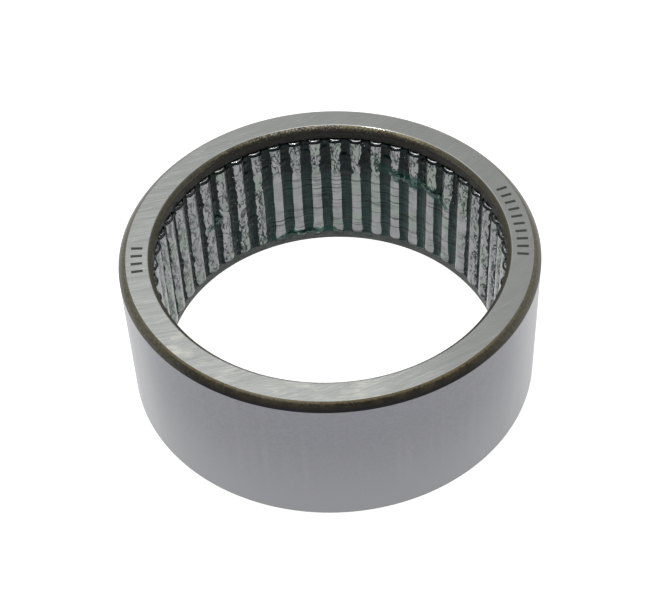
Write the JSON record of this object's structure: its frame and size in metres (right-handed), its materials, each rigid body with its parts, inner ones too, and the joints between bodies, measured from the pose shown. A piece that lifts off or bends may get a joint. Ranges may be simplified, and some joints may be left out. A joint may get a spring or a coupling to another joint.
{
  "type": "needle roller bearing",
  "caption": "Full-complement needle roller bearing with a machined ribbed outer ring and no inner ring; a hardened shaft runs straight on the greased needles.",
  "frame": {"origin": "centre of the bearing, on its axis and half way along its width", "axes": "+Z along the bearing axis; the two end faces are normal to Z; +X runs through the centre of needle_01"},
  "size_m": [0.055, 0.055, 0.022],
  "materials": {
    "ring_steel": "satin",
    "needle_steel": "polished",
    "grease": "gloss"
  },
  "bodies": {
    "outer_ring": {"outer_ring": "ring_steel"},
    "needle_row": {"grease": "grease"},
    "needle_01": {"needle_01": "needle_steel"},
    "needle_02": {"needle_02": "needle_steel"},
    "needle_03": {"needle_03": "needle_steel"},
    "needle_04": {"needle_04": "needle_steel"},
    "needle_05": {"needle_05": "needle_steel"},
    "needle_06": {"needle_06": "needle_steel"},
    "needle_07": {"needle_07": "needle_steel"},
    "needle_08": {"needle_08": "needle_steel"},
    "needle_09": {"needle_09": "needle_steel"},
    "needle_10": {"needle_10": "needle_steel"},
    "needle_11": {"needle_11": "needle_steel"},
    "needle_12": {"needle_12": "needle_steel"},
    "needle_13": {"needle_13": "needle_steel"},
    "needle_14": {"needle_14": "needle_steel"},
    "needle_15": {"needle_15": "needle_steel"},
    "needle_16": {"needle_16": "needle_steel"},
    "needle_17": {"needle_17": "needle_steel"},
    "needle_18": {"needle_18": "needle_steel"},
    "needle_19": {"needle_19": "needle_steel"},
    "needle_20": {"needle_20": "needle_steel"},
    "needle_21": {"needle_21": "needle_steel"},
    "needle_22": {"needle_22": "needle_steel"},
    "needle_23": {"needle_23": "needle_steel"},
    "needle_24": {"needle_24": "needle_steel"},
    "needle_25": {"needle_25": "needle_steel"},
    "needle_26": {"needle_26": "needle_steel"},
    "needle_27": {"needle_27": "needle_steel"},
    "needle_28": {"needle_28": "needle_steel"},
    "needle_29": {"needle_29": "needle_steel"},
    "needle_30": {"needle_30": "needle_steel"},
    "needle_31": {"needle_31": "needle_steel"},
    "needle_32": {"needle_32": "needle_steel"},
    "needle_33": {"needle_33": "needle_steel"},
    "needle_34": {"needle_34": "needle_steel"},
    "needle_35": {"needle_35": "needle_steel"},
    "needle_36": {"needle_36": "needle_steel"},
    "needle_37": {"needle_37": "needle_steel"},
    "needle_38": {"needle_38": "needle_steel"},
    "needle_39": {"needle_39": "needle_steel"},
    "needle_40": {"needle_40": "needle_steel"},
    "needle_41": {"needle_41": "needle_steel"},
    "needle_42": {"needle_42": "needle_steel"},
    "needle_43": {"needle_43": "needle_steel"},
    "needle_44": {"needle_44": "needle_steel"},
    "needle_45": {"needle_45": "needle_steel"},
    "needle_46": {"needle_46": "needle_steel"},
    "needle_47": {"needle_47": "needle_steel"},
    "needle_48": {"needle_48": "needle_steel"},
    "needle_49": {"needle_49": "needle_steel"},
    "needle_50": {"needle_50": "needle_steel"}
  },
  "joints": [
    {"name": "row_travel", "type": "hinge", "parent": "outer_ring", "child": "needle_row", "pos_m": [0, 0, 0], "axis": [0, 0, 1], "continuous": true},
    {"name": "needle_01_roll", "type": "hinge", "parent": "needle_row", "child": "needle_01", "pos_m": [0.024, 0, 0], "axis": [0, 0, 1], "continuous": true},
    {"name": "needle_02_roll", "type": "hinge", "parent": "needle_row", "child": "needle_02", "pos_m": [0.02381, 0.00301, 0], "axis": [0, 0, 1], "continuous": true},
    {"name": "needle_03_roll", "type": "hinge", "parent": "needle_row", "child": "needle_03", "pos_m": [0.02325, 0.00597, 0], "axis": [0, 0, 1], "continuous": true},
    {"name": "needle_04_roll", "type": "hinge", "parent": "needle_row", "child": "needle_04", "pos_m": [0.02231, 0.00883, 0], "axis": [0, 0, 1], "continuous": true},
    {"name": "needle_05_roll", "type": "hinge", "parent": "needle_row", "child": "needle_05", "pos_m": [0.02103, 0.01156, 0], "axis": [0, 0, 1], "continuous": true},
    {"name": "needle_06_roll", "type": "hinge", "parent": "needle_row", "child": "needle_06", "pos_m": [0.01942, 0.01411, 0], "axis": [0, 0, 1], "continuous": true},
    {"name": "needle_07_roll", "type": "hinge", "parent": "needle_row", "child": "needle_07", "pos_m": [0.0175, 0.01643, 0], "axis": [0, 0, 1], "continuous": true},
    {"name": "needle_08_roll", "type": "hinge", "parent": "needle_row", "child": "needle_08", "pos_m": [0.0153, 0.01849, 0], "axis": [0, 0, 1], "continuous": true},
    {"name": "needle_09_roll", "type": "hinge", "parent": "needle_row", "child": "needle_09", "pos_m": [0.01286, 0.02026, 0], "axis": [0, 0, 1], "continuous": true},
    {"name": "needle_10_roll", "type": "hinge", "parent": "needle_row", "child": "needle_10", "pos_m": [0.01022, 0.02172, 0], "axis": [0, 0, 1], "continuous": true},
    {"name": "needle_11_roll", "type": "hinge", "parent": "needle_row", "child": "needle_11", "pos_m": [0.00742, 0.02283, 0], "axis": [0, 0, 1], "continuous": true},
    {"name": "needle_12_roll", "type": "hinge", "parent": "needle_row", "child": "needle_12", "pos_m": [0.0045, 0.02357, 0], "axis": [0, 0, 1], "continuous": true},
    {"name": "needle_13_roll", "type": "hinge", "parent": "needle_row", "child": "needle_13", "pos_m": [0.00151, 0.02395, 0], "axis": [0, 0, 1], "continuous": true},
    {"name": "needle_14_roll", "type": "hinge", "parent": "needle_row", "child": "needle_14", "pos_m": [-0.00151, 0.02395, 0], "axis": [0, 0, 1], "continuous": true},
    {"name": "needle_15_roll", "type": "hinge", "parent": "needle_row", "child": "needle_15", "pos_m": [-0.0045, 0.02357, 0], "axis": [0, 0, 1], "continuous": true},
    {"name": "needle_16_roll", "type": "hinge", "parent": "needle_row", "child": "needle_16", "pos_m": [-0.00742, 0.02283, 0], "axis": [0, 0, 1], "continuous": true},
    {"name": "needle_17_roll", "type": "hinge", "parent": "needle_row", "child": "needle_17", "pos_m": [-0.01022, 0.02172, 0], "axis": [0, 0, 1], "continuous": true},
    {"name": "needle_18_roll", "type": "hinge", "parent": "needle_row", "child": "needle_18", "pos_m": [-0.01286, 0.02026, 0], "axis": [0, 0, 1], "continuous": true},
    {"name": "needle_19_roll", "type": "hinge", "parent": "needle_row", "child": "needle_19", "pos_m": [-0.0153, 0.01849, 0], "axis": [0, 0, 1], "continuous": true},
    {"name": "needle_20_roll", "type": "hinge", "parent": "needle_row", "child": "needle_20", "pos_m": [-0.0175, 0.01643, 0], "axis": [0, 0, 1], "continuous": true},
    {"name": "needle_21_roll", "type": "hinge", "parent": "needle_row", "child": "needle_21", "pos_m": [-0.01942, 0.01411, 0], "axis": [0, 0, 1], "continuous": true},
    {"name": "needle_22_roll", "type": "hinge", "parent": "needle_row", "child": "needle_22", "pos_m": [-0.02103, 0.01156, 0], "axis": [0, 0, 1], "continuous": true},
    {"name": "needle_23_roll", "type": "hinge", "parent": "needle_row", "child": "needle_23", "pos_m": [-0.02231, 0.00883, 0], "axis": [0, 0, 1], "continuous": true},
    {"name": "needle_24_roll", "type": "hinge", "parent": "needle_row", "child": "needle_24", "pos_m": [-0.02325, 0.00597, 0], "axis": [0, 0, 1], "continuous": true},
    {"name": "needle_25_roll", "type": "hinge", "parent": "needle_row", "child": "needle_25", "pos_m": [-0.02381, 0.00301, 0], "axis": [0, 0, 1], "continuous": true},
    {"name": "needle_26_roll", "type": "hinge", "parent": "needle_row", "child": "needle_26", "pos_m": [-0.024, 0, 0], "axis": [0, 0, 1], "continuous": true},
    {"name": "needle_27_roll", "type": "hinge", "parent": "needle_row", "child": "needle_27", "pos_m": [-0.02381, -0.00301, 0], "axis": [0, 0, 1], "continuous": true},
    {"name": "needle_28_roll", "type": "hinge", "parent": "needle_row", "child": "needle_28", "pos_m": [-0.02325, -0.00597, 0], "axis": [0, 0, 1], "continuous": true},
    {"name": "needle_29_roll", "type": "hinge", "parent": "needle_row", "child": "needle_29", "pos_m": [-0.02231, -0.00883, 0], "axis": [0, 0, 1], "continuous": true},
    {"name": "needle_30_roll", "type": "hinge", "parent": "needle_row", "child": "needle_30", "pos_m": [-0.02103, -0.01156, 0], "axis": [0, 0, 1], "continuous": true},
    {"name": "needle_31_roll", "type": "hinge", "parent": "needle_row", "child": "needle_31", "pos_m": [-0.01942, -0.01411, 0], "axis": [0, 0, 1], "continuous": true},
    {"name": "needle_32_roll", "type": "hinge", "parent": "needle_row", "child": "needle_32", "pos_m": [-0.0175, -0.01643, 0], "axis": [0, 0, 1], "continuous": true},
    {"name": "needle_33_roll", "type": "hinge", "parent": "needle_row", "child": "needle_33", "pos_m": [-0.0153, -0.01849, 0], "axis": [0, 0, 1], "continuous": true},
    {"name": "needle_34_roll", "type": "hinge", "parent": "needle_row", "child": "needle_34", "pos_m": [-0.01286, -0.02026, 0], "axis": [0, 0, 1], "continuous": true},
    {"name": "needle_35_roll", "type": "hinge", "parent": "needle_row", "child": "needle_35", "pos_m": [-0.01022, -0.02172, 0], "axis": [0, 0, 1], "continuous": true},
    {"name": "needle_36_roll", "type": "hinge", "parent": "needle_row", "child": "needle_36", "pos_m": [-0.00742, -0.02283, 0], "axis": [0, 0, 1], "continuous": true},
    {"name": "needle_37_roll", "type": "hinge", "parent": "needle_row", "child": "needle_37", "pos_m": [-0.0045, -0.02357, 0], "axis": [0, 0, 1], "continuous": true},
    {"name": "needle_38_roll", "type": "hinge", "parent": "needle_row", "child": "needle_38", "pos_m": [-0.00151, -0.02395, 0], "axis": [0, 0, 1], "continuous": true},
    {"name": "needle_39_roll", "type": "hinge", "parent": "needle_row", "child": "needle_39", "pos_m": [0.00151, -0.02395, 0], "axis": [0, 0, 1], "continuous": true},
    {"name": "needle_40_roll", "type": "hinge", "parent": "needle_row", "child": "needle_40", "pos_m": [0.0045, -0.02357, 0], "axis": [0, 0, 1], "continuous": true},
    {"name": "needle_41_roll", "type": "hinge", "parent": "needle_row", "child": "needle_41", "pos_m": [0.00742, -0.02283, 0], "axis": [0, 0, 1], "continuous": true},
    {"name": "needle_42_roll", "type": "hinge", "parent": "needle_row", "child": "needle_42", "pos_m": [0.01022, -0.02172, 0], "axis": [0, 0, 1], "continuous": true},
    {"name": "needle_43_roll", "type": "hinge", "parent": "needle_row", "child": "needle_43", "pos_m": [0.01286, -0.02026, 0], "axis": [0, 0, 1], "continuous": true},
    {"name": "needle_44_roll", "type": "hinge", "parent": "needle_row", "child": "needle_44", "pos_m": [0.0153, -0.01849, 0], "axis": [0, 0, 1], "continuous": true},
    {"name": "needle_45_roll", "type": "hinge", "parent": "needle_row", "child": "needle_45", "pos_m": [0.0175, -0.01643, 0], "axis": [0, 0, 1], "continuous": true},
    {"name": "needle_46_roll", "type": "hinge", "parent": "needle_row", "child": "needle_46", "pos_m": [0.01942, -0.01411, 0], "axis": [0, 0, 1], "continuous": true},
    {"name": "needle_47_roll", "type": "hinge", "parent": "needle_row", "child": "needle_47", "pos_m": [0.02103, -0.01156, 0], "axis": [0, 0, 1], "continuous": true},
    {"name": "needle_48_roll", "type": "hinge", "parent": "needle_row", "child": "needle_48", "pos_m": [0.02231, -0.00883, 0], "axis": [0, 0, 1], "continuous": true},
    {"name": "needle_49_roll", "type": "hinge", "parent": "needle_row", "child": "needle_49", "pos_m": [0.02325, -0.00597, 0], "axis": [0, 0, 1], "continuous": true},
    {"name": "needle_50_roll", "type": "hinge", "parent": "needle_row", "child": "needle_50", "pos_m": [0.02381, -0.00301, 0], "axis": [0, 0, 1], "continuous": true}
  ],
  "couplings": [
    {"joint": "needle_01_roll", "follows": "row_travel", "ratio": -17},
    {"joint": "needle_02_roll", "follows": "row_travel", "ratio": -17},
    {"joint": "needle_03_roll", "follows": "row_travel", "ratio": -17},
    {"joint": "needle_04_roll", "follows": "row_travel", "ratio": -17},
    {"joint": "needle_05_roll", "follows": "row_travel", "ratio": -17},
    {"joint": "needle_06_roll", "follows": "row_travel", "ratio": -17},
    {"joint": "needle_07_roll", "follows": "row_travel", "ratio": -17},
    {"joint": "needle_08_roll", "follows": "row_travel", "ratio": -17},
    {"joint": "needle_09_roll", "follows": "row_travel", "ratio": -17},
    {"joint": "needle_10_roll", "follows": "row_travel", "ratio": -17},
    {"joint": "needle_11_roll", "follows": "row_travel", "ratio": -17},
    {"joint": "needle_12_roll", "follows": "row_travel", "ratio": -17},
    {"joint": "needle_13_roll", "follows": "row_travel", "ratio": -17},
    {"joint": "needle_14_roll", "follows": "row_travel", "ratio": -17},
    {"joint": "needle_15_roll", "follows": "row_travel", "ratio": -17},
    {"joint": "needle_16_roll", "follows": "row_travel", "ratio": -17},
    {"joint": "needle_17_roll", "follows": "row_travel", "ratio": -17},
    {"joint": "needle_18_roll", "follows": "row_travel", "ratio": -17},
    {"joint": "needle_19_roll", "follows": "row_travel", "ratio": -17},
    {"joint": "needle_20_roll", "follows": "row_travel", "ratio": -17},
    {"joint": "needle_21_roll", "follows": "row_travel", "ratio": -17},
    {"joint": "needle_22_roll", "follows": "row_travel", "ratio": -17},
    {"joint": "needle_23_roll", "follows": "row_travel", "ratio": -17},
    {"joint": "needle_24_roll", "follows": "row_travel", "ratio": -17},
    {"joint": "needle_25_roll", "follows": "row_travel", "ratio": -17},
    {"joint": "needle_26_roll", "follows": "row_travel", "ratio": -17},
    {"joint": "needle_27_roll", "follows": "row_travel", "ratio": -17},
    {"joint": "needle_28_roll", "follows": "row_travel", "ratio": -17},
    {"joint": "needle_29_roll", "follows": "row_travel", "ratio": -17},
    {"joint": "needle_30_roll", "follows": "row_travel", "ratio": -17},
    {"joint": "needle_31_roll", "follows": "row_travel", "ratio": -17},
    {"joint": "needle_32_roll", "follows": "row_travel", "ratio": -17},
    {"joint": "needle_33_roll", "follows": "row_travel", "ratio": -17},
    {"joint": "needle_34_roll", "follows": "row_travel", "ratio": -17},
    {"joint": "needle_35_roll", "follows": "row_travel", "ratio": -17},
    {"joint": "needle_36_roll", "follows": "row_travel", "ratio": -17},
    {"joint": "needle_37_roll", "follows": "row_travel", "ratio": -17},
    {"joint": "needle_38_roll", "follows": "row_travel", "ratio": -17},
    {"joint": "needle_39_roll", "follows": "row_travel", "ratio": -17},
    {"joint": "needle_40_roll", "follows": "row_travel", "ratio": -17},
    {"joint": "needle_41_roll", "follows": "row_travel", "ratio": -17},
    {"joint": "needle_42_roll", "follows": "row_travel", "ratio": -17},
    {"joint": "needle_43_roll", "follows": "row_travel", "ratio": -17},
    {"joint": "needle_44_roll", "follows": "row_travel", "ratio": -17},
    {"joint": "needle_45_roll", "follows": "row_travel", "ratio": -17},
    {"joint": "needle_46_roll", "follows": "row_travel", "ratio": -17},
    {"joint": "needle_47_roll", "follows": "row_travel", "ratio": -17},
    {"joint": "needle_48_roll", "follows": "row_travel", "ratio": -17},
    {"joint": "needle_49_roll", "follows": "row_travel", "ratio": -17},
    {"joint": "needle_50_roll", "follows": "row_travel", "ratio": -17}
  ]
}
